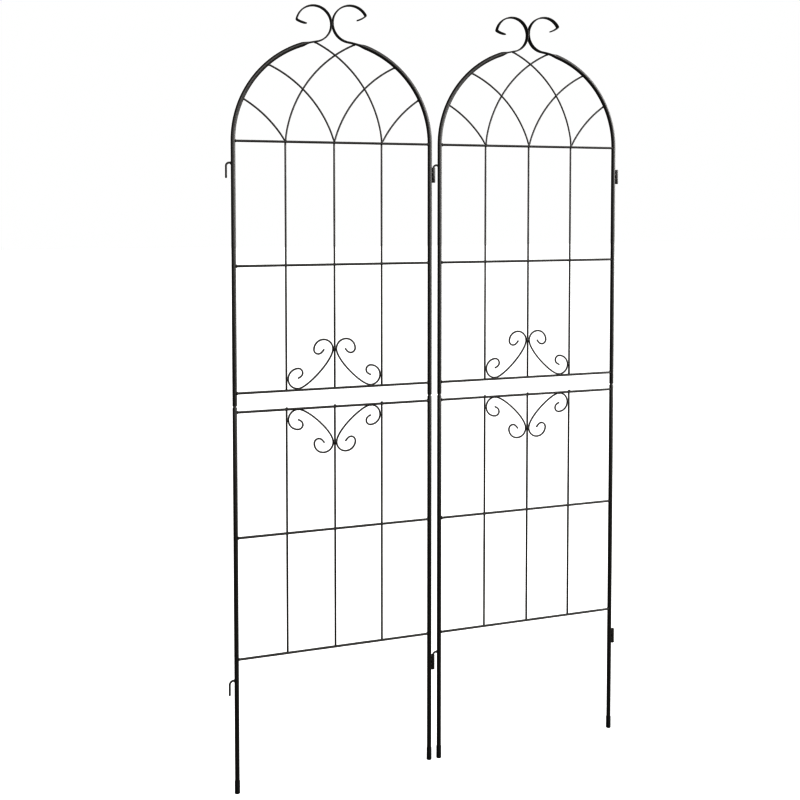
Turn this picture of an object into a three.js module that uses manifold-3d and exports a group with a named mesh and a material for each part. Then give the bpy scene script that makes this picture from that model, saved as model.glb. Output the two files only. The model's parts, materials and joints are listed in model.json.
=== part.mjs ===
// A pair of arched-top garden trellis panels in black coated steel, hinged side by side.
// Millimetres, +Z up, -Y is the front. The panels lie in the plane y = 0 and stand on z = 0.
import * as THREE from "three";
import { mergeVertices } from "three/addons/utils/BufferGeometryUtils.js";
import Module from "manifold-3d";

const wasm = await Module();
wasm.setup();

// Panel outline
const PANEL_WIDTH = 464; // leg axis to leg axis
const LEG_SPACING = 25; // axes of the two legs that meet at the hinge
const ARCH_RADIUS = PANEL_WIDTH / 2;
const WIRE_SPACING = 113.6; // the upright wires quarter the clear width
const LOWER_RAILS = { bottom: 310, middle: 589, top: 875 };
const UPPER_RAILS = { bottom: 918, middle: 1204, springing: 1483 };
const SPRINGING = UPPER_RAILS.springing;

// Bar stock
const TUBE_RADIUS = 4.9;
const BORE_RADIUS = 3.9;
const RAIL_RADIUS = 2.4;
const WIRE_RADIUS = 2;
const CURL_RADIUS = 1.8; // wire of the scrolls and of the tracery
const HOOK_RADIUS = 2;
const GAP = 0.3; // left between pieces that are welded or fitted together

// Depth of each layer of bars
const RAIL_Y = -2.35;
const WIRE_Y = 2.35;
const TRACERY_Y = 1.95;

// Plug joint between the lower and the upper half of a panel
const SHOULDER = 886.5;
const SWAGE_LENGTH = 2;
const SPIGOT_RADIUS = 3.45;
const SPIGOT_BORE = 2.4;
const SPIGOT_LENGTH = 45;
const UPPER_TUBE_FOOT = 889.5;

// Plastic end cap on each lower leg
const CAP_RADIUS = 5.65;
const CAP_SOCKET = 5.2;
const CAP_LENGTH = 28;
const CAP_FLOOR = 3;
const CAP_ROUNDING = 1.5;

// Hooks and sleeves
const HOOK_HEIGHTS = { upper: 1434.5, lower: 262 };
const HOOK_REACH = 15.8;
const HOOK_DROP = 34;
const HOOK_BEND = { upper: 7, lower: 9 };
const SLEEVE_REACH = 9.2;
const SLEEVE_RADIUS = 4;
const SLEEVE_BORE = 2.7;
const SLEEVE_LENGTH = 35;
const SLEEVE_BELOW_HOOK = 41; // hook arm down to the foot of the sleeve it drops into

// Finial: the flattened end of each arch tube, curled outwards
const STRIP_HALF_WIDTH = 7.4;
const STRIP_HALF_THICKNESS = 1.45;
const FLATTEN_FROM_X = 75;
const FLATTEN_TO_X = 55;
const FINIAL_CENTRE = -5; // the two curls touch a little left of the panel's centre line
const TIP_BEND = 2.6;
const TIP_CURL = 22; // degrees the tip bends back up along its length
const CURLS = {
  left: { radius: 40.5, end: 167, tipTurn: 75, tipLength: 22.5 },
  right: { radius: 42, end: 148, tipTurn: 84, tipLength: 22 },
};

// Tracery: three V-bent wires on the springing rail
const TRACERY_RADIUS = 275;
const TRACERY_FEET = WIRE_SPACING;
const TRACERY_BEND = 2.2;
const CROSSOVER = 22; // length in which an arm moves from one layer to the other
const TRACERY_REACH = 226.3; // radial end under the round tube
const TRACERY_REACH_FLAT = 228.7; // radial end under the flattened tube
const ARM_STEPS = 11;
const ARM_CROWDING = 1.4; // over 1 sets the points closer together near the foot
const BEND_STEPS = 6;
// Angle from vertical at the foot, for the arms that lean left and for those that lean right
const LEFT_ARMS = { short: 31.4, middle: 16.9, long: 4.9 };
const RIGHT_ARMS = { short: 26.9, middle: 14.9, long: 5.5 };

// Scrolls
const SCROLL_WELD = { upper: 90.6, lower: 84 }; // along the centre wire, from the rail
const SCROLL_START = WIRE_RADIUS + GAP + CURL_RADIUS;
const INNER_CURL = 22.5;
const OUTER_CURL = 23.3;
const TIP_CURL_RADIUS = 10.5;
const INNER_TIP = { length: 10.7, turn: -20 };
const OUTER_TIP = { length: 8, turn: 16 };
const SWOOP_END = { x: WIRE_SPACING - SCROLL_START - OUTER_CURL, z: 2.2 };
const SWOOP_HANDLES = { start: 27, end: 20 };

const ROUND_SIDES = 12;
const WIRE_SIDES = 8;

const coated = new THREE.MeshStandardMaterial({ color: 0x1c1a18, roughness: 0.5, metalness: 0.2 });
const plastic = new THREE.MeshStandardMaterial({ color: 0x0b0b0b, roughness: 0.65 });

const Y = new THREE.Vector3(0, 1, 0);
const rad = THREE.MathUtils.degToRad;

const root = new THREE.Group();
root.name = "trellis_pair";

function addNode(name, geometry, material = coated) {
  const mesh = new THREE.Mesh(geometry, material);
  mesh.name = name;
  root.add(mesh);
}

const at = (x, z, y = 0) => new THREE.Vector3(x, y, z);

// A cylinder whose rings are laid square to a path that runs roughly in the XZ plane. The section
// gives the half sizes in the plane and in depth; a squareness over 1 turns the ellipse into a
// rounded bar.
function sweep(path, sectionAt, sides) {
  const spans = path.length - 1;
  const tube = new THREE.CylinderGeometry(1, 1, 1, sides, spans);
  const corner = new THREE.Vector3();
  const positions = tube.attributes.position;
  const bulge = (value, power) => Math.sign(value) * Math.abs(value) ** power;
  for (let i = 0; i < positions.count; i++) {
    corner.fromBufferAttribute(positions, i);
    const station = Math.round((corner.y + 0.5) * spans);
    const before = path[Math.max(station - 1, 0)];
    const after = path[Math.min(station + 1, spans)];
    const along = after.clone().sub(before).normalize();
    const depth = Y.clone().addScaledVector(along, -along.y).normalize();
    const inPlane = along.clone().cross(depth);
    const { a, b, squareness = 1 } = sectionAt(path[station], station);
    const place = path[station].clone()
      .addScaledVector(inPlane, a * bulge(corner.x, 1 / squareness))
      .addScaledVector(depth, b * bulge(corner.z, 1 / squareness));
    positions.setXYZ(i, place.x, place.y, place.z);
  }
  return tube;
}

function wireAlong(path, radius, sides = WIRE_SIDES) {
  return sweep(path, () => ({ a: radius, b: radius }), sides);
}

function rail(centreX, z, length) {
  return new THREE.CylinderGeometry(RAIL_RADIUS, RAIL_RADIUS, length, WIRE_SIDES)
    .rotateZ(Math.PI / 2)
    .translate(centreX, RAIL_Y, z);
}

function upright(x, foot, head) {
  return new THREE.CylinderGeometry(WIRE_RADIUS, WIRE_RADIUS, head - foot, WIRE_SIDES)
    .rotateX(Math.PI / 2)
    .translate(x, WIRE_Y, (foot + head) / 2);
}

// A body turned about a vertical axis from [radius, height] pairs that run up the outside first.
function turned(axisX, profile) {
  const points = profile.map(([radius, z]) => new THREE.Vector2(radius, z));
  return new THREE.LatheGeometry(points, ROUND_SIDES).rotateX(Math.PI / 2).translate(axisX, 0, 0);
}

// Points on a circle in the XZ plane, with angles in degrees from +X towards +Z.
function arc(centreX, centreZ, radius, from, to, steps, y = 0) {
  const points = [];
  for (let i = 0; i <= steps; i++) {
    const t = rad(from + ((to - from) * i) / steps);
    points.push(at(centreX + radius * Math.cos(t), centreZ + radius * Math.sin(t), y));
  }
  return points;
}

// A straight run or a gentle bend that starts at a point with a heading in degrees.
function run(start, heading, length, turn, steps) {
  const points = [];
  const here = start.clone();
  for (let i = 0; i < steps; i++) {
    const t = rad(heading + (turn * (i + 0.5)) / steps);
    here.add(at(Math.cos(t), Math.sin(t)).multiplyScalar(length / steps));
    points.push(here.clone());
  }
  return points;
}

const mirrored = (path) => path.map((p) => at(-p.x, p.z, p.y));
const moved = (path, x, z = 0) => path.map((p) => at(p.x + x, p.z + z, p.y));

function cutOut(outer, inner) {
  const solid = (geometry) => {
    geometry.deleteAttribute("normal");
    geometry.deleteAttribute("uv");
    const merged = mergeVertices(geometry, 1e-4);
    return new wasm.Manifold(new wasm.Mesh({
      numProp: 3,
      vertProperties: merged.attributes.position.array,
      triVerts: new Uint32Array(merged.index.array),
    }));
  };
  const cut = solid(outer).subtract(solid(inner)).getMesh();
  return new THREE.BufferGeometry()
    .setAttribute("position", new THREE.BufferAttribute(cut.vertProperties, 3))
    .setIndex(new THREE.BufferAttribute(cut.triVerts, 1));
}

// Leg, half arch and finial of a left tube, about the panel's centre line. The finial circle
// touches the arch circle from outside and stops a hair short of the line where the curls meet.
function archTubePath({ radius, end: endAngle, tipTurn, tipLength }, meetX) {
  const finialX = meetX - (radius + STRIP_HALF_THICKNESS + GAP / 2);
  const between = ARCH_RADIUS + radius;
  const finialZ = Math.sqrt(between ** 2 - finialX ** 2);
  const touch = (Math.atan2(finialZ, finialX) * 180) / Math.PI;
  const finial = arc(finialX, SPRINGING + finialZ, radius, touch - 180, endAngle, 18).slice(1);
  const end = rad(endAngle);
  const inward = radius - TIP_BEND;
  const bend = arc(finialX + inward * Math.cos(end), SPRINGING + finialZ + inward * Math.sin(end),
    TIP_BEND, endAngle, endAngle + tipTurn, 5).slice(1);
  const tipHeading = endAngle + tipTurn + 90;
  return [
    at(-ARCH_RADIUS, UPPER_TUBE_FOOT),
    ...arc(0, SPRINGING, ARCH_RADIUS, 180, touch, 15),
    ...finial,
    ...bend,
    ...run(bend.at(-1), tipHeading, tipLength, TIP_CURL, 3),
  ];
}

function archTube(curl, meetX) {
  const path = archTubePath(curl, meetX);
  const past = path.findIndex((p) => p.z > SPRINGING && p.x > -FLATTEN_TO_X);
  const section = (point, i) => {
    const raw = (point.x + FLATTEN_FROM_X) / (FLATTEN_FROM_X - FLATTEN_TO_X);
    const flat = i >= past ? 1 : THREE.MathUtils.smoothstep(raw, 0, 1);
    return {
      a: THREE.MathUtils.lerp(TUBE_RADIUS, STRIP_HALF_THICKNESS, flat),
      b: THREE.MathUtils.lerp(TUBE_RADIUS, STRIP_HALF_WIDTH, flat),
      squareness: 1 + flat,
    };
  };
  const round = path.slice(0, path.findIndex((p) => p.x > -FLATTEN_FROM_X));
  round[0] = at(-ARCH_RADIUS, UPPER_TUBE_FOOT - 1);
  return cutOut(sweep(path, section, ROUND_SIDES), wireAlong(round, BORE_RADIUS, ROUND_SIDES));
}

// One arm of a tracery wire, from its bend at the foot to the arch. It leaves the foot at an
// angle left of vertical and bends further left.
function traceryArm(footX, angle, reach, steps) {
  const from = rad(angle);
  const centre = at(footX - TRACERY_RADIUS * Math.cos(from), -TRACERY_RADIUS * Math.sin(from));
  const onArc = (t) => at(Math.cos(t), Math.sin(t)).multiplyScalar(TRACERY_RADIUS).add(centre);
  let to = from;
  while (onArc(to).length() < reach) to += 1e-4;
  const points = [];
  for (let i = 0; i <= steps; i++) {
    points.push(onArc(from + (to - from) * (i / steps) ** ARM_CROWDING));
  }
  return points;
}

// A V-bent wire: the left arm lies in the front layer and the right arm in the back one.
function traceryWire(footX, leftAngle, leftReach, rightAngle, rightReach) {
  const left = traceryArm(footX, leftAngle, leftReach, ARM_STEPS);
  const right = mirrored(traceryArm(-footX, rightAngle, rightReach, ARM_STEPS));
  const half = rad((leftAngle + rightAngle) / 2);
  const lean = rad((rightAngle - leftAngle) / 2);
  const up = at(Math.sin(lean), Math.cos(lean));
  const centre = at(footX, 0).addScaledVector(up, TRACERY_BEND / Math.sin(half));
  const straight = TRACERY_BEND / Math.tan(half);
  const along = (arm) => arm.filter((p) => Math.hypot(p.x - footX, p.z) > straight + 1);
  const middle = 270 - THREE.MathUtils.radToDeg(lean);
  const sweepAngle = 90 - THREE.MathUtils.radToDeg(half);
  const bend = arc(centre.x, centre.z, TRACERY_BEND, middle - sweepAngle, middle + sweepAngle,
    BEND_STEPS);
  const path = [...along(left).reverse(), ...bend, ...along(right)];
  const lengths = [0];
  for (let i = 1; i < path.length; i++) lengths.push(lengths[i - 1] + path[i].distanceTo(path[i - 1]));
  const lowest = lengths[along(left).length + BEND_STEPS / 2];
  return path.map((p, i) => {
    const past = THREE.MathUtils.clamp((lengths[i] - lowest) / CROSSOVER, -1, 1);
    return at(p.x, p.z + SPRINGING, TRACERY_Y * Math.sin((past * Math.PI) / 2));
  });
}

// A scroll to the right of the centre wire, rising from a rail at z = 0.
function scrollPath(weld) {
  const inner = arc(SCROLL_START + INNER_CURL, weld, INNER_CURL, 180, 0, 9, WIRE_Y);
  const innerTip = SCROLL_START + 2 * INNER_CURL - TIP_CURL_RADIUS;
  const innerEnd = arc(innerTip, weld, TIP_CURL_RADIUS, 0, -130, 5, WIRE_Y).slice(1);
  const innerRun = run(innerEnd.at(-1), 140, INNER_TIP.length, INNER_TIP.turn, 2);
  const swoop = new THREE.CubicBezierCurve3(
    at(SCROLL_START, weld, WIRE_Y),
    at(SCROLL_START, weld - SWOOP_HANDLES.start, WIRE_Y),
    at(SWOOP_END.x - SWOOP_HANDLES.end, SWOOP_END.z, WIRE_Y),
    at(SWOOP_END.x, SWOOP_END.z, WIRE_Y),
  ).getPoints(8);
  const outerZ = SWOOP_END.z + OUTER_CURL;
  const outer = arc(SWOOP_END.x, outerZ, OUTER_CURL, -90, 90, 9, WIRE_Y);
  const outerTip = outerZ + OUTER_CURL - TIP_CURL_RADIUS;
  const outerEnd = arc(SWOOP_END.x, outerTip, TIP_CURL_RADIUS, 90, 235, 5, WIRE_Y).slice(1);
  const outerRun = run(outerEnd.at(-1), 325, OUTER_TIP.length, OUTER_TIP.turn, 2);
  return [
    ...[...inner, ...innerEnd, ...innerRun].reverse(),
    ...swoop.slice(1),
    ...outer.slice(1),
    ...outerEnd,
    ...outerRun,
  ];
}

// Hook on the left side of a leg: a short arm that turns down into a pin.
function hookPath(legX, height, bendRadius) {
  const pinX = legX - HOOK_REACH;
  return [
    at(legX - TUBE_RADIUS - GAP, height),
    ...arc(pinX + bendRadius, height - bendRadius, bendRadius, 90, 180, 6),
    at(pinX, height - HOOK_DROP),
  ];
}

function addHalf(half, panel, centreX, rails) {
  const name = (piece) => `${panel}_${half}_${piece}`;
  const railLength = PANEL_WIDTH - 2 * (TUBE_RADIUS + GAP);
  for (const [place, z] of Object.entries(rails)) {
    addNode(name(`rail_${place}`), rail(centreX, z, railLength));
  }
  const heights = Object.values(rails);
  const foot = heights[0] - RAIL_RADIUS;
  const head = heights.at(-1) + RAIL_RADIUS;
  for (let i = 0; i < 3; i++) {
    addNode(name(`wire_${i + 1}`), upright(centreX + (i - 1) * WIRE_SPACING, foot, head));
  }
  // Scrolls rise from the upper half's bottom rail and hang from the lower half's top rail.
  const scroll = scrollPath(SCROLL_WELD[half]);
  const turn = half === "upper" ? 1 : -1;
  const base = half === "upper" ? rails.bottom : rails.top;
  const placed = scroll.map((p) => at(p.x, base + turn * p.z, p.y));
  addNode(name("scroll_1"), wireAlong(moved(mirrored(placed), centreX), CURL_RADIUS));
  addNode(name("scroll_2"), wireAlong(moved(placed, centreX), CURL_RADIUS));

  const height = HOOK_HEIGHTS[half];
  const hook = hookPath(centreX - PANEL_WIDTH / 2, height, HOOK_BEND[half]);
  addNode(name("hook"), wireAlong(hook, HOOK_RADIUS, ROUND_SIDES));
  const sleeveX = centreX + PANEL_WIDTH / 2 + SLEEVE_REACH;
  const sleeveFoot = height - SLEEVE_BELOW_HOOK;
  const sleeveTop = sleeveFoot + SLEEVE_LENGTH;
  addNode(name("sleeve"), turned(sleeveX, [
    [SLEEVE_RADIUS, sleeveFoot],
    [SLEEVE_RADIUS, sleeveTop],
    [SLEEVE_BORE, sleeveTop],
    [SLEEVE_BORE, sleeveFoot],
    [SLEEVE_RADIUS, sleeveFoot],
  ]));
}

function addUpperFrame(panel, centreX) {
  const tube = archTube(CURLS.left, FINIAL_CENTRE);
  const opposite = archTube(CURLS.right, -FINIAL_CENTRE).scale(-1, 1, 1);
  opposite.setIndex([...opposite.index.array].reverse());
  addNode(`${panel}_upper_tube_1`, tube.translate(centreX, 0, 0));
  addNode(`${panel}_upper_tube_2`, opposite.translate(centreX, 0, 0));
  const wires = [
    traceryWire(-TRACERY_FEET, LEFT_ARMS.short, TRACERY_REACH, RIGHT_ARMS.long, TRACERY_REACH_FLAT),
    traceryWire(0, LEFT_ARMS.middle, TRACERY_REACH, RIGHT_ARMS.middle, TRACERY_REACH),
    traceryWire(TRACERY_FEET, LEFT_ARMS.long, TRACERY_REACH_FLAT, RIGHT_ARMS.short, TRACERY_REACH),
  ];
  wires.forEach((path, i) => {
    addNode(`${panel}_upper_tracery_${i + 1}`, wireAlong(moved(path, centreX), CURL_RADIUS));
  });
}

function addLegs(panel, centreX) {
  const legFoot = CAP_FLOOR + GAP;
  const spigotTop = SHOULDER + SPIGOT_LENGTH;
  const boreTop = SHOULDER - SWAGE_LENGTH - 1;
  [-1, 1].forEach((side, i) => {
    const x = centreX + (side * PANEL_WIDTH) / 2;
    addNode(`${panel}_lower_leg_${i + 1}`, turned(x, [
      [TUBE_RADIUS, legFoot],
      [TUBE_RADIUS, SHOULDER - SWAGE_LENGTH],
      [SPIGOT_RADIUS, SHOULDER],
      [SPIGOT_RADIUS, spigotTop],
      [SPIGOT_BORE, spigotTop],
      [SPIGOT_BORE, SHOULDER],
      [BORE_RADIUS, boreTop],
      [BORE_RADIUS, legFoot],
      [TUBE_RADIUS, legFoot],
    ]));
    const corner = CAP_RADIUS - CAP_ROUNDING;
    addNode(`${panel}_lower_end_cap_${i + 1}`, turned(x, [
      [0, 0],
      [corner, 0],
      [corner + CAP_ROUNDING * Math.sin(rad(45)), CAP_ROUNDING * (1 - Math.cos(rad(45)))],
      [CAP_RADIUS, CAP_ROUNDING],
      [CAP_RADIUS, CAP_LENGTH],
      [CAP_SOCKET, CAP_LENGTH],
      [CAP_SOCKET, CAP_FLOOR],
      [0, CAP_FLOOR],
    ]), plastic);
  });
}

[["left", -1], ["right", 1]].forEach(([panel, side]) => {
  const centreX = (side * (PANEL_WIDTH + LEG_SPACING)) / 2;
  addLegs(panel, centreX);
  addHalf("lower", panel, centreX, LOWER_RAILS);
  addUpperFrame(panel, centreX);
  addHalf("upper", panel, centreX, UPPER_RAILS);
});

export default root;
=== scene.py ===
import json
import math
import random

import bpy
from mathutils import Matrix, Vector


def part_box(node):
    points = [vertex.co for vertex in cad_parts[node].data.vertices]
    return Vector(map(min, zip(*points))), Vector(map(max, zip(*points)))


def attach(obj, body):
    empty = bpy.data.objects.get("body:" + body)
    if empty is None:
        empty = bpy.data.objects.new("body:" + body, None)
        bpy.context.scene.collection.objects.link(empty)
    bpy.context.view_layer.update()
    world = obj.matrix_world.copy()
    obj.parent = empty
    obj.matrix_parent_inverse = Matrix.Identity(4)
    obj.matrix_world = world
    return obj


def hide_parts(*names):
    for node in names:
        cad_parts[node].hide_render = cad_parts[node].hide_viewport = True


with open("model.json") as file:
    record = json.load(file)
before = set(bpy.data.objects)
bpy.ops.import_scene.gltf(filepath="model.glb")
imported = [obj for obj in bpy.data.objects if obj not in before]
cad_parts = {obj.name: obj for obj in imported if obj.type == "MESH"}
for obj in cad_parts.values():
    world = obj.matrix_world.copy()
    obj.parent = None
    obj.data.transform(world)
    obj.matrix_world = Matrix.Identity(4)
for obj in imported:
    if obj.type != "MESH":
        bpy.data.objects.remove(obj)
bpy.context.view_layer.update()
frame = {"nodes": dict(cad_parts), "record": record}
bpy.ops.object.select_all(action="DESELECT")
print("frame loaded:", len(frame["nodes"]), "nodes")

bodies = frame["record"]["behaviour"]["bodies"]
bodyOf = {node: body for body, nodes in bodies.items() for node in nodes}
slotOf = {entry["node"]: entry["material_slot"] for entry in frame["record"]["subparts"]}


def middle(node):
    low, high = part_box(node)
    return (Vector(low) + Vector(high)) / 2


def height(node, end):
    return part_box(node)[end][2]


view = {
    "place": (-0.8236, -2.2712, 1.3391),
    "pitch": 2.4613,  # degrees down
    "yaw": 17.9793,  # degrees towards the right
    "lens": 45.793,
    "sensor": 36,
    "rise": -0.1883,  # lens shift
    "nearest": 0.05,
}


def addCamera():
    camera = bpy.data.cameras.new("camera")
    camera.lens = view["lens"]
    camera.sensor_width = view["sensor"]
    camera.shift_y = view["rise"]
    camera.clip_start = view["nearest"]
    holder = bpy.data.objects.new("camera", camera)
    holder.location = view["place"]
    holder.rotation_euler = (math.radians(90 - view["pitch"]), 0, math.radians(-view["yaw"]))
    bpy.context.collection.objects.link(holder)
    bpy.context.scene.camera = holder


class Socket:
    # a node's output that takes part in sums and products
    def __init__(self, tree, output):
        self.tree = tree
        self.output = output

    def maths(self, operation, first, second, clamp=False):
        settings = {"operation": operation, "use_clamp": clamp}
        return self.tree.add("ShaderNodeMath", settings, {0: first, 1: second})

    def __add__(self, other):
        return self.maths("ADD", self, other)

    def __radd__(self, other):
        return self.maths("ADD", other, self)

    def __sub__(self, other):
        return self.maths("SUBTRACT", self, other)

    def __rsub__(self, other):
        return self.maths("SUBTRACT", other, self)

    def __mul__(self, other):
        return self.maths("MULTIPLY", self, other)

    def __rmul__(self, other):
        return self.maths("MULTIPLY", other, self)

    def clipped(self):
        return self.maths("ADD", self, 0, clamp=True)


class Surface:
    # a material with its shader, and one way to add any other node
    def __init__(self, name):
        self.material = bpy.data.materials.new(name)
        self.material.use_nodes = True
        self.nodes = self.material.node_tree.nodes
        self.links = self.material.node_tree.links
        self.shader = self.nodes["Principled BSDF"]

    def connect(self, value, target):
        if isinstance(value, Socket):
            self.links.new(value.output, target)
        else:
            target.default_value = value

    def add(self, kind, settings=None, inputs=None, output=0):
        node = self.nodes.new(kind)
        for key, value in (settings or {}).items():
            if key == "stops":
                ramp = node.color_ramp
                while len(ramp.elements) < len(value):
                    ramp.elements.new(0.5)
                for element, (position, colour) in zip(ramp.elements, value):
                    element.position = position
                    element.color = colour
            else:
                setattr(node, key, value)
        for key, value in (inputs or {}).items():
            self.connect(value, node.inputs[key])
        return Socket(self, node.outputs[output])

    def set(self, **values):
        for name, value in values.items():
            self.connect(value, self.shader.inputs[name.replace("_", " ")])

    def place(self, stretch=(1, 1, 1)):
        coordinates = self.add("ShaderNodeTexCoord", output="Object")
        return self.add("ShaderNodeMapping", None, {"Vector": coordinates, "Scale": stretch})

    def noise(self, scale, detail=2, roughness=0.5, stretch=(1, 1, 1)):
        inputs = {"Vector": self.place(stretch), "Scale": scale, "Detail": detail,
                  "Roughness": roughness}
        return self.add("ShaderNodeTexNoise", None, inputs)

    def ramp(self, value, *stops):
        grey = [(position, (level, level, level, 1)) for position, level in stops]
        return self.add("ShaderNodeValToRGB", {"stops": grey}, {"Fac": value})

    def blend(self, factor, first, second):
        inputs = {"Factor": factor, 6: first, 7: second}
        return self.add("ShaderNodeMix", {"data_type": "RGBA"}, inputs, output=2)

    def bump(self, height, strength, distance):
        inputs = {"Height": height, "Strength": strength, "Distance": distance}
        self.set(Normal=self.add("ShaderNodeBump", None, inputs))


# patches, scuffs, specks, peel and lumps are noise scales, and so are grain and dust
coat = {
    "colour": (0.0135, 0.0116, 0.0096, 1),
    "worn": (0.030, 0.027, 0.023, 1),
    "roughness": 0.36,
    "gloss": 0.25,
    "glossRoughness": 0.22,
    "patches": 9,
    "scuffs": 150,
    "specks": 1900,  # dust and pinholes in the coat
    "peel": 520,  # orange peel
    "peelHeight": 0.00004,
    "peelStrength": 0.55,
    "grit": 4.5,  # how much finer the grit is than the peel
    "lumps": 260,  # only on welds
}

plastic = {
    "colour": (0.004, 0.004, 0.004, 1),
    "dusty": (0.014, 0.013, 0.012, 1),
    "roughness": 0.52,
    "grain": 2600,
    "grainHeight": 0.00004,
    "grainStrength": 0.4,
    "dust": 120,
}


def powderCoat(name, lumps=0.0):
    surface = Surface(name)
    broad = surface.noise(coat["patches"], detail=3, stretch=(1, 1, 0.35))
    fine = surface.noise(coat["peel"], detail=2)
    grit = surface.noise(coat["peel"] * coat["grit"], detail=1)
    scratched = surface.noise(coat["scuffs"], detail=4, roughness=0.65)
    scuffs = surface.ramp(scratched, (0.56, 0), (0.72, 1))
    specks = surface.ramp(surface.noise(coat["specks"], detail=1), (0.66, 0), (0.74, 1))
    patches = surface.ramp(broad, (0.35, 0), (0.7, 1))
    wear = (scuffs * 0.35 + patches * 0.3 + specks * 0.6).clipped()
    dull = scuffs * 0.12 + patches * 0.06 + specks * 0.2
    surface.set(
        Base_Color=surface.blend(wear, coat["colour"], coat["worn"]),
        Roughness=(coat["roughness"] + (fine - 0.5) * 0.16 + dull).clipped(),
        Coat_Weight=coat["gloss"],
        Coat_Roughness=coat["glossRoughness"],
    )
    relief = fine * 0.75 + grit * 0.25
    if lumps:
        relief = relief + surface.noise(coat["lumps"], detail=2) * lumps
    surface.bump(relief, coat["peelStrength"], coat["peelHeight"])
    return surface.material


def capPlastic():
    surface = Surface("capPlastic")
    grain = surface.noise(plastic["grain"], detail=2)
    dust = surface.ramp(surface.noise(plastic["dust"], detail=4), (0.5, 0), (0.8, 1))
    surface.set(
        Base_Color=surface.blend(dust * 0.5, plastic["colour"], plastic["dusty"]),
        Roughness=(plastic["roughness"] + (grain - 0.5) * 0.2 + dust * 0.15).clipped(),
    )
    surface.bump(grain, plastic["grainStrength"], plastic["grainHeight"])
    return surface.material


materials = {
    "frame_tube": powderCoat("coatOnTube"),
    "grid_wire": powderCoat("coatOnWire"),
    "scroll_wire": powderCoat("coatOnScroll"),
    "hinge_hardware": powderCoat("coatOnHinge"),
    "end_cap_plastic": capPlastic(),
    "weld": powderCoat("coatOnWeld", lumps=2.5),
}
print("materials made:", len(materials))

smoothBelow = 38  # degrees between faces


def settle(piece, name, body, slot, material=None, replaced=()):
    # freezes the place into the mesh, smooths it and hands the piece to its body
    bpy.ops.object.select_all(action="DESELECT")
    piece.select_set(True)
    bpy.context.view_layer.objects.active = piece
    bpy.ops.object.transform_apply(location=True, rotation=True, scale=True)
    bpy.ops.object.shade_smooth_by_angle(angle=math.radians(smoothBelow))
    piece.name = name
    piece.data.name = name
    piece.data.materials.clear()
    piece.data.materials.append(materials[material or slot])
    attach(piece, body)
    if replaced:
        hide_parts(*replaced)
    bpy.ops.object.select_all(action="DESELECT")
    return piece


def standFor(piece, node):
    return settle(piece, pieceName(node), bodyOf[node], slotOf[node], replaced=[node])


def pieceName(node):
    first, *rest = node.split("_")
    return first + "".join(word.capitalize() for word in rest)


def applied(piece, kind, **settings):
    bpy.context.view_layer.objects.active = piece
    modifier = piece.modifiers.new(kind.lower(), kind)
    for key, value in settings.items():
        setattr(modifier, key, value)
    bpy.ops.object.modifier_apply(modifier=modifier.name)
    return piece


def chooseVerts(piece, test):
    # ends in edit mode, with just the vertices that pass the test selected
    bpy.ops.object.mode_set(mode="EDIT")
    bpy.ops.mesh.select_mode(type="VERT")
    bpy.ops.mesh.select_all(action="DESELECT")
    bpy.ops.object.mode_set(mode="OBJECT")
    for vertex in piece.data.vertices:
        vertex.select = test(vertex.co)
    bpy.ops.object.mode_set(mode="EDIT")


def cylinder(radius, depth, place, turn=(0, 0, 0), sides=24, fill="NGON"):
    bpy.ops.mesh.primitive_cylinder_add(
        vertices=sides, radius=radius, depth=depth, location=place, rotation=turn,
        end_fill_type=fill)
    return bpy.context.active_object


def bevelled(piece, width, segments, over=30):
    # rounds the edges whose faces turn by more than the given degrees
    return applied(piece, "BEVEL", width=width, segments=segments, limit_method="ANGLE",
                   angle_limit=math.radians(over))


bars = {
    "sides": 24,
    "endRounding": 0.0004,
    "endSteps": 3,
    "weldDepth": 0.75,  # where the end welds sit, as a share of the rail's place in depth
    "stations": 14,  # stretches of a bar, so that it can waver a little
    "waver": 0.0005,
    "waverLength": 0.05,
    "railRadius": 0.0024,
    "uprightRadius": 0.0020,
}


waverTexture = bpy.data.textures.new("waver", "CLOUDS")
waverTexture.noise_scale = bars["waverLength"]


def straightBar(node, radius, alongX):
    low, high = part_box(node)
    length = high[0] - low[0] if alongX else high[2] - low[2]
    turn = (0, math.pi / 2, 0) if alongX else (0, 0, 0)
    bar = cylinder(radius, length, middle(node), turn, bars["sides"])
    bpy.ops.object.transform_apply(location=True, rotation=True)
    bevelled(bar, bars["endRounding"], bars["endSteps"])
    along = Vector((1, 0, 0)) if alongX else Vector((0, 0, 1))
    bpy.ops.object.mode_set(mode="EDIT")
    for i in range(1, bars["stations"]):
        cut = middle(node) + along * (length * (i / bars["stations"] - 0.5))
        bpy.ops.mesh.select_all(action="SELECT")
        bpy.ops.mesh.bisect(plane_co=cut, plane_no=along)
    bpy.ops.object.mode_set(mode="OBJECT")
    applied(bar, "DISPLACE", texture=waverTexture, strength=bars["waver"], mid_level=0.5,
            texture_coords="LOCAL")
    return standFor(bar, node)


def onArc(centre, radius, start, stop, steps, y=0.0):
    points = []
    for i in range(steps + 1):
        angle = math.radians(start + (stop - start) * i / steps)
        x = centre[0] + radius * math.cos(angle)
        z = centre[1] + radius * math.sin(angle)
        points.append(Vector((x, y, z)))
    return points


def onwards(start, heading, length, turn, steps):
    # goes on from a point in a heading that turns evenly by so many degrees
    points = []
    here = start.copy()
    for i in range(steps):
        angle = math.radians(heading + turn * (i + 0.5) / steps)
        here = here + Vector((math.cos(angle), 0, math.sin(angle))) * (length / steps)
        points.append(here)
    return points


def thinned(points, least):
    # drops points nearer than this to the last one kept, but never the two ends
    kept = [points[0]]
    for point in points[1:-1]:
        if (point - kept[-1]).length >= least:
            kept.append(point)
    return kept + [points[-1]]


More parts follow.
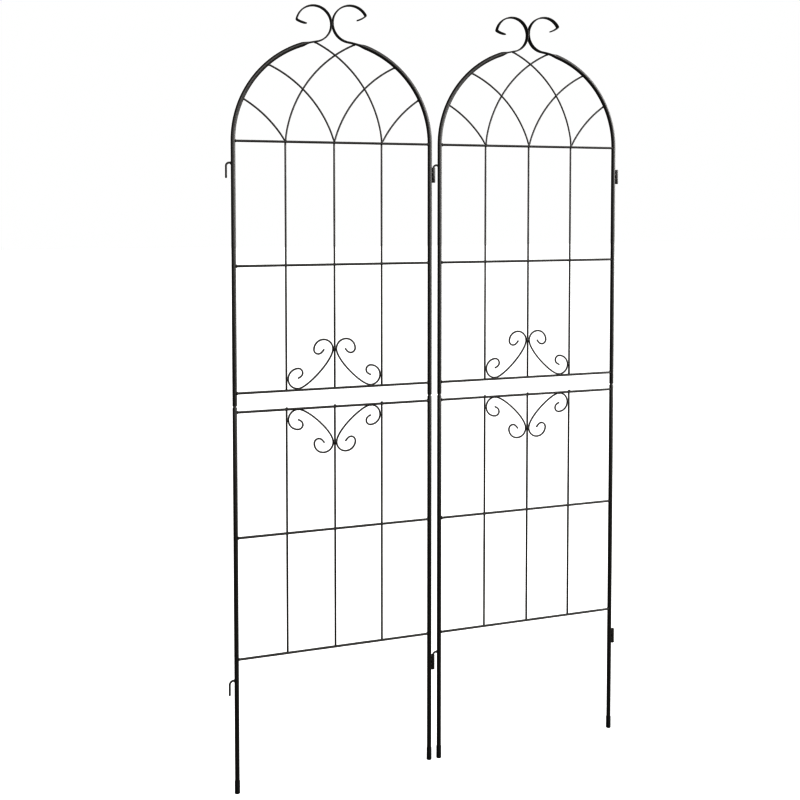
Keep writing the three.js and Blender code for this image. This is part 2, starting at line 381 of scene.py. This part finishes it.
# distance from a cut end and thickness there, both in wire radii
narrowing = [(0.0, 0.55), (0.16, 0.80), (0.4, 0.94), (0.8, 1.0)]


def withRoundEnds(points, radius):
    # a few extra stations by each end, where the wire narrows to a rounded cut end
    first, last = points[0], points[-1]
    inwardFirst = (points[1] - first).normalized()
    inwardLast = (points[-2] - last).normalized()
    head = [(first + inwardFirst * radius * d, r) for d, r in narrowing]
    tail = [(last + inwardLast * radius * d, r) for d, r in reversed(narrowing)]
    between = [(p, 1.0) for p in points[1:-1] if min((p - first).length, (p - last).length) > radius]
    return head + between + tail


def bentWire(points, radius, roundness=5):
    stations = withRoundEnds(points, radius)
    curve = bpy.data.curves.new("wire", "CURVE")
    curve.dimensions = "3D"
    curve.bevel_depth = radius
    curve.bevel_resolution = roundness
    curve.use_fill_caps = True
    spline = curve.splines.new("POLY")
    spline.points.add(len(stations) - 1)
    for point, (place, thickness) in zip(spline.points, stations):
        point.co = (*place, 1)
        point.radius = thickness
    wire = bpy.data.objects.new("wire", curve)
    bpy.context.collection.objects.link(wire)
    wire.select_set(True)
    bpy.context.view_layer.objects.active = wire
    bpy.ops.object.convert(target="MESH")
    bpy.ops.object.mode_set(mode="EDIT")
    bpy.ops.mesh.select_all(action="SELECT")
    bpy.ops.mesh.remove_doubles(threshold=1e-6)  # joins the end caps to the sides
    bpy.ops.object.mode_set(mode="OBJECT")
    return bpy.context.active_object


scroll = {
    "radius": 0.0018,
    "start": 0.0041,  # from the centre line to the wire's axis at the waist
    "weld": {"upper": 0.0906, "lower": 0.084},  # from the rail to the waist of the pair
    "innerCurl": 0.0225,
    "outerCurl": 0.0233,
    "tipCurl": 0.0105,
    "innerTip": (0.0107, -20),  # length, degrees of bend
    "outerTip": (0.008, 16),
    "innerWind": -130,  # how far the small tip curls wind, degrees
    "outerWind": 235,
    "swoopEnd": (0.0862, 0.0022),
    "swoopHandles": (0.027, 0.020),
    "layer": 0.00235,
    "steps": 40,
    "innerSteps": 20,
    "outerSteps": 22,
    "tipSteps": 6,
    "spacing": 0.0006,  # least distance between stations
    "waistShare": 0.45,  # where the weld sits between the middle wire and the curl
}


def scrollPoints(half):
    waist, layer, steps = scroll["weld"][half], scroll["layer"], scroll["steps"]
    start, curl, tip = scroll["start"], scroll["innerCurl"], scroll["tipCurl"]
    inner = onArc((start + curl, waist), curl, 180, 0, steps, layer)
    innerCentre = (start + 2 * curl - tip, waist)
    innerEnd = onArc(innerCentre, tip, 0, scroll["innerWind"], scroll["innerSteps"], layer)[1:]
    innerTip = onwards(innerEnd[-1], scroll["innerWind"] + 270, *scroll["innerTip"], scroll["tipSteps"])
    endX, endZ = scroll["swoopEnd"]
    leave, arrive = scroll["swoopHandles"]
    knots = [(start, waist), (start, waist - leave), (endX - arrive, endZ), (endX, endZ)]
    swoop = []
    for i in range(1, steps):
        t = i / steps
        weights = [(1 - t) ** 3, 3 * t * (1 - t) ** 2, 3 * t * t * (1 - t), t ** 3]
        x = sum(w * k[0] for w, k in zip(weights, knots))
        z = sum(w * k[1] for w, k in zip(weights, knots))
        swoop.append(Vector((x, layer, z)))
    wide = scroll["outerCurl"]
    outer = onArc((endX, endZ + wide), wide, -90, 90, steps, layer)
    outerCentre = (endX, endZ + 2 * wide - tip)
    outerEnd = onArc(outerCentre, tip, 90, scroll["outerWind"], scroll["outerSteps"], layer)[1:]
    outerTip = onwards(outerEnd[-1], scroll["outerWind"] + 90, *scroll["outerTip"], scroll["tipSteps"])
    return (inner + innerEnd + innerTip)[::-1] + swoop + outer + outerEnd + outerTip


tracery = {
    "radius": 0.0018,
    "arm": 0.275,  # radius of an arm's arc
    "bend": 0.0022,
    "bendSteps": 12,
    "clear": 0.0004,  # kept free on both sides of the bend
    "layer": 0.00195,
    "crossover": 0.022,  # length on each side of the foot in which the wire changes layer
    "reach": 0.2263,
    "reachFlat": 0.2287,  # where the arch tube is already flattened
    "step": 0.4,  # degrees along an arm
    "spacing": 0.0004,
    "leftArms": {"short": 31.4, "middle": 16.9, "long": 4.9},  # degrees from upright, at the foot
    "rightArms": {"short": 26.9, "middle": 14.9, "long": 5.5},
}


def traceryArm(footX, angle, reach):
    size = tracery["arm"]
    start = math.radians(angle)
    centre = Vector((footX - size * math.cos(start), 0, -size * math.sin(start)))
    points = []
    turn = start
    while True:
        point = centre + Vector((math.cos(turn), 0, math.sin(turn))) * size
        points.append(point)
        if point.length >= reach:
            return points
        turn += math.radians(tracery["step"])


def mirrored(points):
    return [Vector((-p.x, p.y, p.z)) for p in points]


def traceryPoints(footX, left, leftReach, right, rightReach):
    # one wire with two arms and a small round bend at its foot
    leftArm = traceryArm(footX, left, leftReach)
    rightArm = mirrored(traceryArm(-footX, right, rightReach))
    half = math.radians((left + right) / 2)
    lean = math.radians((right - left) / 2)
    size, steps = tracery["bend"], tracery["bendSteps"]
    foot = Vector((footX, 0, 0))
    centre = foot + Vector((math.sin(lean), 0, math.cos(lean))) * (size / math.sin(half))
    lowestAt = 270 - math.degrees(lean)
    spread = 90 - math.degrees(half)
    bend = onArc((centre.x, centre.z), size, lowestAt - spread, lowestAt + spread, steps)
    keep = size / math.tan(half) + tracery["clear"]
    leftArm = [p for p in leftArm if (p - foot).length > keep][::-1]
    rightArm = [p for p in rightArm if (p - foot).length > keep]
    path = leftArm + bend + rightArm
    lengths = [0.0]
    for before, after in zip(path, path[1:]):
        lengths.append(lengths[-1] + (after - before).length)
    lowest = lengths[len(leftArm) + steps // 2]
    for point, along in zip(path, lengths):
        past = max(-1.0, min(1.0, (along - lowest) / tracery["crossover"]))
        point.y = tracery["layer"] * math.sin(past * math.pi / 2)
    return path


hook = {
    "radius": 0.002,
    "drop": 0.034,
    "bend": {"upper": 0.007, "lower": 0.009},
    "bendSteps": 18,
    "roundness": 6,
}


def hookPoints(node, half):
    low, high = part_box(node)
    armZ = high[2] - hook["radius"]
    pinX = low[0] + hook["radius"]
    bend = hook["bend"][half]
    turn = onArc((pinX + bend, armZ - bend), bend, 90, 180, hook["bendSteps"])
    return [Vector((high[0], 0, armZ))] + turn + [Vector((pinX, 0, armZ - hook["drop"]))]


tube = {
    "radius": 0.0049,
    "wall": 0.001,
    "sides": 28,
    "stripHalfWidth": 0.0074,
    "stripHalfThickness": 0.00145,
    "flattenFrom": 0.075,  # distances from the centre line between which it is pressed flat
    "flattenTo": 0.055,
    "edgeSquareness": 0.3,
    "arch": 0.232,
    "meet": -0.005,  # the two curls touch a little left of the centre line
    "tipBend": 0.0026,
    "tipCurl": 22,
    "taper": 0.011,  # length in which the tip narrows to its end
    "tipEnd": 0.45,
    "gap": 0.00015,  # half the space between the two curls
    "legSteps": 12,
    "archSteps": 110,
    "tipSteps": 8,
    "curls": [
        {"radius": 0.0405, "end": 167, "tipTurn": 75, "tipLength": 0.0225},
        {"radius": 0.042, "end": 148, "tipTurn": 84, "tipLength": 0.022},
    ],
}


def archPoints(foot, curl, meet):
    # a left tube about the panel's centre line, with the springing rail at z = 0
    size = curl["radius"]
    finialX = meet - (size + tube["stripHalfThickness"] + tube["gap"])
    finialZ = math.sqrt((tube["arch"] + size) ** 2 - finialX ** 2)
    touch = math.degrees(math.atan2(finialZ, finialX))
    legSteps, archSteps, tipSteps = tube["legSteps"], tube["archSteps"], tube["tipSteps"]
    arch = onArc((0, 0), tube["arch"], 180, touch, archSteps)
    finial = onArc((finialX, finialZ), size, touch - 180, curl["end"], archSteps)[1:]
    end = math.radians(curl["end"])
    inward = size - tube["tipBend"]
    corner = (finialX + inward * math.cos(end), finialZ + inward * math.sin(end))
    bent = curl["end"] + curl["tipTurn"]
    turn = onArc(corner, tube["tipBend"], curl["end"], bent, tipSteps)[1:]
    tip = onwards(turn[-1], bent + 90, curl["tipLength"], tube["tipCurl"], tipSteps)
    upright = [Vector((-tube["arch"], 0, foot - foot * i / legSteps)) for i in range(legSteps)]
    return upright + arch + finial + turn + tip, len(upright) + len(arch)


def tubeSection(path, i, archEnd):
    # half sizes across and along the depth, and how flat the tube is at a station
    point = path[i]
    flat = 0.0
    if i >= archEnd or point.x > -tube["flattenTo"]:
        flat = 1.0
    elif point.z > 0:
        t = (point.x + tube["flattenFrom"]) / (tube["flattenFrom"] - tube["flattenTo"])
        t = max(0.0, t)
        flat = t * t * (3 - 2 * t)
    thin = tube["radius"] + (tube["stripHalfThickness"] - tube["radius"]) * flat
    wide = tube["radius"] + (tube["stripHalfWidth"] - tube["radius"]) * flat
    if i >= archEnd:
        left = min(1.0, (path[-1] - point).length / tube["taper"])
        narrow = tube["tipEnd"] + (1 - tube["tipEnd"]) * math.sqrt(left * (2 - left))
        wide *= narrow
        thin *= 0.5 + 0.5 * narrow
    return thin, wide, flat


def archTube(node, panelX, springing, mirror):
    foot = height(node, 0) - springing
    meet = -tube["meet"] if mirror else tube["meet"]
    path, archEnd = archPoints(foot, tube["curls"][mirror], meet)
    sides = tube["sides"]
    circle = [2 * math.pi * (k + 0.5) / sides for k in range(sides)]
    verts, faces = [], []
    for i, point in enumerate(path):
        before, after = path[max(i - 1, 0)], path[min(i + 1, len(path) - 1)]
        along = (after - before).normalized()
        inPlane = along.cross(Vector((0, 1, 0)))
        thin, wide, flat = tubeSection(path, i, archEnd)
        for angle in circle:
            # the flat strip has square edges, the tube is round
            c, s = math.cos(angle), math.sin(angle)
            c = math.copysign(abs(c) ** (1 / (1 + flat)), c)
            s = math.copysign(abs(s) ** (1 - tube["edgeSquareness"] * flat), s)
            verts.append(point + inPlane * (thin * c) + Vector((0, wide * s, 0)))
    for i in range(len(path) - 1):
        for k in range(sides):
            a, b = i * sides + k, i * sides + (k + 1) % sides
            if mirror:
                faces.append((a, b, b + sides, a + sides))
            else:
                faces.append((a, a + sides, b + sides, b))
    side = -1 if mirror else 1
    bpy.ops.mesh.primitive_circle_add(fill_type="NOTHING")
    piece = bpy.context.active_object
    mesh = piece.data
    mesh.clear_geometry()
    mesh.from_pydata([(panelX + side * v.x, v.y, v.z + springing) for v in verts], [], faces)
    mesh.update()
    applied(piece, "SOLIDIFY", thickness=tube["wall"], offset=-1)
    return standFor(piece, node)


leg = {
    "sides": 32,
    "swage": 0.002,
    "spigot": 0.00345,
    "spigotLength": 0.045,
    "wall": 0.001,
    "rounding": 0.0003,
}


def drawnUp(rise, scale=1):
    # extrudes the selected rim upwards and then widens or narrows it
    bpy.ops.mesh.extrude_region_move(TRANSFORM_OT_translate={"value": (0, 0, rise)})
    if scale != 1:
        bpy.ops.transform.resize(value=(scale, scale, 1))


def lowerLeg(node):
    low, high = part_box(node)
    shoulder = high[2] - leg["spigotLength"]
    tubeTop = shoulder - leg["swage"]
    place = middle(node)
    place.z = (low[2] + tubeTop) / 2
    piece = cylinder(tube["radius"], tubeTop - low[2], place, sides=leg["sides"], fill="NOTHING")
    bpy.ops.object.transform_apply(location=True)
    chooseVerts(piece, lambda co: co.z > place.z)
    ratio = leg["spigot"] / tube["radius"]
    drawnUp(leg["swage"] / 2, (1 + ratio) / 2)
    drawnUp(leg["swage"] / 2, 2 * ratio / (1 + ratio))
    drawnUp(leg["spigotLength"])
    bpy.ops.object.mode_set(mode="OBJECT")
    applied(piece, "SOLIDIFY", thickness=leg["wall"], offset=-1)
    bevelled(piece, leg["rounding"], 2, over=25)
    return standFor(piece, node)


cap = {"sides": 40, "radius": 0.00565, "wall": 0.00045, "floor": 0.003, "rounding": 0.0016}


def endCap(node):
    low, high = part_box(node)
    length = high[2] - low[2]
    piece = cylinder(cap["radius"], length, middle(node), sides=cap["sides"])
    bpy.ops.object.transform_apply(location=True)
    bpy.ops.object.mode_set(mode="EDIT")
    bpy.ops.mesh.select_mode(type="FACE")
    bpy.ops.mesh.select_all(action="DESELECT")
    bpy.ops.object.mode_set(mode="OBJECT")
    for face in piece.data.polygons:
        face.select = face.normal.z > 0.9
    bpy.ops.object.mode_set(mode="EDIT")
    bpy.ops.mesh.inset(thickness=cap["wall"])
    bpy.ops.mesh.extrude_region_move(TRANSFORM_OT_translate={"value": (0, 0, cap["floor"] - length)})
    bpy.ops.object.mode_set(mode="OBJECT")
    bevelled(piece, cap["rounding"], 5, over=50)
    return standFor(piece, node)


sleeve = {
    "sides": 36,
    "radius": 0.004,
    "wall": 0.0013,
    "chamfer": 0.00035,
    "weldsAt": (0.12, 0.34, 0.66, 0.88),  # shares of its height
}


def hingeSleeve(node):
    low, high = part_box(node)
    length = high[2] - low[2]
    piece = cylinder(sleeve["radius"], length, middle(node), sides=sleeve["sides"], fill="NOTHING")
    applied(piece, "SOLIDIFY", thickness=sleeve["wall"], offset=-1)
    bevelled(piece, sleeve["chamfer"], 3)
    return standFor(piece, node)


weld = {
    "fineness": 3,
    "lump": 0.44,
    "lumpScale": 0.7,
    "variants": 6,
    "apart": (3.7, 1.9),  # each variant is displaced at its own spot of the texture
    "smallest": 0.88,
    "largest": 1.12,
    "proud": 0.0020,  # how far up the beads on the top rail of a lower half are moved
}

# half sizes of each kind of weld bead, across, in depth and upright
beadSizes = {
    "railEnd": (0.0019, 0.0029, 0.0034),
    "crossing": (0.0021, 0.0013, 0.0023),
    "proudCrossing": (0.0027, 0.0023, 0.0023),
    "scrollWaist": (0.0021, 0.0023, 0.0054),
    "scrollOnRail": (0.0048, 0.0018, 0.0022),
    "scrollOnUpright": (0.0017, 0.0018, 0.0044),
    "hook": (0.0019, 0.0025, 0.0031),
    "sleeve": (0.0015, 0.0020, 0.0042),
    "finial": (0.0012, 0.0018, 0.0032),
    "traceryFoot": (0.0026, 0.0021, 0.0030),
    "traceryEnd": (0.0018, 0.0021, 0.0024),
}

# how far the beads lie from the end or the axis of what they join
beadShift = {
    "railEnd": 0.0004,
    "crossing": 0.0002,
    "scroll": 0.0008,
    "scrollOuter": 0.0003,
    "hookDown": 0.0008,
    "sleeveOut": 0.0003,
    "sleeveFront": 0.0016,
    "finial": 0.0045,
    "finialAcross": 0.00135,
    "traceryFoot": 0.0036,
    "traceryEnd": 0.0006,
}
beadShapes = []


def bead(kind, x, y, z, turn=0):
    return Vector((x, y, z)), beadSizes[kind], turn


def makeBeadShapes():
    # lumpy unit beads, copied wherever two bars are welded
    acrossStep, depthStep = weld["apart"]
    for index in range(weld["variants"]):
        bpy.ops.mesh.primitive_ico_sphere_add(subdivisions=weld["fineness"], radius=1)
        lump = bpy.context.active_object
        texture = bpy.data.textures.new(f"lumps{index}", "CLOUDS")
        texture.noise_scale = weld["lumpScale"]
        texture.noise_depth = 2
        lump.location = (index * acrossStep, index * depthStep, 0)
        bpy.ops.object.transform_apply(location=True)
        applied(lump, "DISPLACE", texture=texture, strength=weld["lump"], mid_level=0.5,
                texture_coords="LOCAL")
        lump.data.transform(Matrix.Translation((-index * acrossStep, -index * depthStep, 0)))
        beadShapes.append(lump.data.copy())
        bpy.data.objects.remove(lump)


def weldBeads(name, body, slot, beads):
    # beads are (place, half sizes, turn about the depth axis)
    pick = random.Random(name)
    copies = []
    for place, sizes, turn in beads:
        shape = pick.choice(beadShapes).copy()
        spin = Matrix.Rotation(pick.uniform(0, 2 * math.pi), 4, pick.choice("XYZ"))
        grow = pick.uniform(weld["smallest"], weld["largest"])
        stretch = Matrix.Diagonal((*[s * grow for s in sizes], 1))
        shape.transform(Matrix.Translation(place) @ Matrix.Rotation(-turn, 4, "Y") @ stretch @ spin)
        copy = bpy.data.objects.new("bead", shape)
        bpy.context.collection.objects.link(copy)
        copies.append(copy)
    bpy.ops.object.select_all(action="DESELECT")
    for copy in copies:
        copy.select_set(True)
    bpy.context.view_layer.objects.active = copies[0]
    bpy.ops.object.join()
    return settle(bpy.context.active_object, name, body, slot, material="weld")


def railsAndUprights(name, half, rails):
    low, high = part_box(name + "rail_middle")
    railY = middle(name + "rail_middle").y
    beads = []
    for rail in rails:
        node = f"{name}rail_{rail}"
        straightBar(node, bars["railRadius"], True)
        z = middle(node).z
        for x in (low[0] + beadShift["railEnd"], high[0] - beadShift["railEnd"]):
            beads.append(bead("railEnd", x, railY * bars["weldDepth"], z))
    for i in (1, 2, 3):
        node = f"{name}wire_{i}"
        straightBar(node, bars["uprightRadius"], False)
        x = middle(node).x
        for rail in rails:
            z = middle(f"{name}rail_{rail}").z
            if half == "lower" and rail == "top":
                beads.append(bead("proudCrossing", x, beadShift["crossing"], z + weld["proud"]))
            else:
                beads.append(bead("crossing", x, beadShift["crossing"], z))
    return beads


def scrollPair(name, half, centreX, rail, up):
    # up is 1 where the scrolls stand on their rail and -1 where they hang from it
    points = scrollPoints(half)
    base = middle(f"{name}rail_{rail}").z
    layer = middle(name + "wire_1").y
    endX, endZ = scroll["swoopEnd"]
    curl = scroll["outerCurl"]
    beads = []
    for i, side in ((1, -1), (2, 1)):
        placed = [Vector((centreX + side * p.x, p.y, base + up * p.z)) for p in points]
        wire = bentWire(thinned(placed, scroll["spacing"]), scroll["radius"])
        standFor(wire, f"{name}scroll_{i}")
        beads += [
            bead("scrollWaist", centreX + side * scroll["start"] * scroll["waistShare"],
                 layer - beadShift["scroll"], base + up * scroll["weld"][half]),
            bead("scrollOnRail", centreX + side * endX, beadShift["crossing"], base + up * endZ),
            bead("scrollOnUpright", centreX + side * (endX + curl + scroll["radius"]),
                 layer - beadShift["scrollOuter"], base + up * (endZ + curl)),
        ]
    return beads


def hookAndSleeve(name, half):
    node = name + "hook"
    standFor(bentWire(hookPoints(node, half), hook["radius"], hook["roundness"]), node)
    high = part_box(node)[1]
    armZ = high[2] - hook["radius"]
    beads = [bead("hook", high[0] + beadShift["crossing"], 0, armZ - beadShift["hookDown"])]
    node = name + "sleeve"
    hingeSleeve(node)
    low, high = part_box(node)
    for share in sleeve["weldsAt"]:
        z = low[2] + (high[2] - low[2]) * share
        beads.append(bead("sleeve", low[0] - beadShift["sleeveOut"], -beadShift["sleeveFront"], z))
    return beads


def traceryWires(name, centreX, springing):
    foot = middle(name + "wire_3").x - centreX
    left, right = tracery["leftArms"], tracery["rightArms"]
    reach, reachFlat = tracery["reach"], tracery["reachFlat"]
    layouts = [
        (-foot, left["short"], reach, right["long"], reachFlat),
        (0.0, left["middle"], reach, right["middle"], reach),
        (foot, left["long"], reachFlat, right["short"], reach),
    ]
    beads = []
    for i, layout in enumerate(layouts):
        path = traceryPoints(*layout)
        placed = [Vector((centreX + p.x, p.y, springing + p.z)) for p in path]
        wire = bentWire(thinned(placed, tracery["spacing"]), tracery["radius"])
        standFor(wire, f"{name}tracery_{i + 1}")
        footZ = springing + beadShift["traceryFoot"]
        beads.append(bead("traceryFoot", centreX + layout[0], 0, footZ))
        for end, inner in ((placed[0], placed[1]), (placed[-1], placed[-2])):
            outward = (end - inner).normalized()
            heading = math.atan2(outward.z, outward.x)
            place = end + outward * beadShift["traceryEnd"]
            beads.append(bead("traceryEnd", *place, heading))
    return beads


def archAndTracery(name, centreX):
    springing = middle(name + "rail_springing").z
    for i, mirror in ((1, False), (2, True)):
        archTube(f"{name}tube_{i}", centreX, springing, mirror)
    beads = traceryWires(name, centreX, springing)
    size = tube["curls"][0]["radius"]
    across = size - tube["meet"] + beadShift["finialAcross"]
    touchZ = springing + math.sqrt((tube["arch"] + size) ** 2 - across ** 2)
    for y in (-beadShift["finial"], beadShift["finial"]):
        beads.append(bead("finial", centreX + tube["meet"], y, touchZ))
    return beads


def halfPanel(panel, half):
    body = f"{panel}_{half}"
    name = body + "_"
    upper = half == "upper"
    rails = ["bottom", "middle", "springing" if upper else "top"]
    centreX = middle(name + "rail_middle").x
    beads = railsAndUprights(name, half, rails)
    beads += scrollPair(name, half, centreX, "bottom" if upper else "top", 1 if upper else -1)
    beads += hookAndSleeve(name, half)
    if upper:
        beads += archAndTracery(name, centreX)
    else:
        for i in (1, 2):
            lowerLeg(f"{name}leg_{i}")
            endCap(f"{name}end_cap_{i}")
    weldBeads(pieceName(name + "welds"), body, "grid_wire", beads)
    print("half panel done:", panel, half, len(beads), "welds")


addCamera()
makeBeadShapes()
for panel in ("left", "right"):
    for half in ("lower", "upper"):
        halfPanel(panel, half)


studio = {
    "floorSize": 60,
    "floorDrop": 0.0005,
    "floorColour": (0.16, 0.16, 0.158, 1),
    "floorRoughness": 0.9,
    "floorGlow": 1.0,  # what the floor adds where it is looked at directly
    "backdrop": 1.0,
    "contrast": 0.56,  # darkens the middle tones, white stays white
    "roomSide": (0.5, -0.75, -0.45),  # the side that the room is bright on
    "roomDark": 0.12,
    "roomBright": 5.2,
    "roomFrom": -0.45,  # where between dark and bright the room starts and ends
    "roomTo": 0.8,
    "aim": (0, 0, 1.3),
    "key": {"place": (3.4, -1.3, 1.9), "size": (2.8, 3.2), "power": 190},
    "front": {"place": (-1.6, -3.6, 3.4), "size": (2.6, 1.6), "power": 45},
}


def softbox(name, place, size, power):
    light = bpy.data.lights.new(name, "AREA")
    light.shape = "RECTANGLE"
    light.size, light.size_y = size
    light.energy = power
    holder = bpy.data.objects.new(name, light)
    holder.location = place
    towards = Vector(studio["aim"]) - Vector(place)
    holder.rotation_euler = towards.to_track_quat("-Z", "Y").to_euler()
    bpy.context.collection.objects.link(holder)


def addFloor():
    place = (0, 0, -studio["floorDrop"])
    bpy.ops.mesh.primitive_plane_add(size=studio["floorSize"], location=place)
    floor = bpy.context.active_object
    floor.name = "floor"
    surface = Surface("paleFloor")
    seen = surface.add("ShaderNodeLightPath")
    glow = (*[studio["floorGlow"]] * 3, 1)
    surface.set(Base_Color=studio["floorColour"], Roughness=studio["floorRoughness"],
                Emission_Strength=1, Emission_Color=surface.blend(seen, (0, 0, 0, 1), glow))
    floor.data.materials.append(surface.material)


def addRoom():
    # a bright backdrop; the object itself sees a room that is bright on one side
    world = bpy.data.worlds.new("studio")
    bpy.context.scene.world = world
    world.use_nodes = True
    nodes, links = world.node_tree.nodes, world.node_tree.links
    direction = nodes.new("ShaderNodeTexCoord")
    towards = nodes.new("ShaderNodeVectorMath")
    towards.operation = "DOT_PRODUCT"
    towards.inputs[1].default_value = studio["roomSide"]
    rise = nodes.new("ShaderNodeMapRange")
    rise.inputs["From Min"].default_value = studio["roomFrom"]
    rise.inputs["From Max"].default_value = studio["roomTo"]
    rise.inputs["To Min"].default_value = studio["roomDark"]
    rise.inputs["To Max"].default_value = studio["roomBright"]
    path = nodes.new("ShaderNodeLightPath")
    choose = nodes.new("ShaderNodeMix")
    choose.inputs["B"].default_value = studio["backdrop"]
    links.new(direction.outputs["Generated"], towards.inputs[0])
    links.new(towards.outputs["Value"], rise.inputs["Value"])
    links.new(path.outputs["Is Camera Ray"], choose.inputs["Factor"])
    links.new(rise.outputs["Result"], choose.inputs["A"])
    links.new(choose.outputs["Result"], nodes["Background"].inputs["Strength"])
    nodes["Background"].inputs["Color"].default_value = (1, 1, 1, 1)


def addStudio():
    addFloor()
    addRoom()
    softbox("keySoftbox", **studio["key"])
    softbox("frontSoftbox", **studio["front"])
    bpy.context.scene.view_settings.view_transform = "Standard"
    bpy.context.scene.view_settings.gamma = studio["contrast"]


addStudio()
print("studio done")
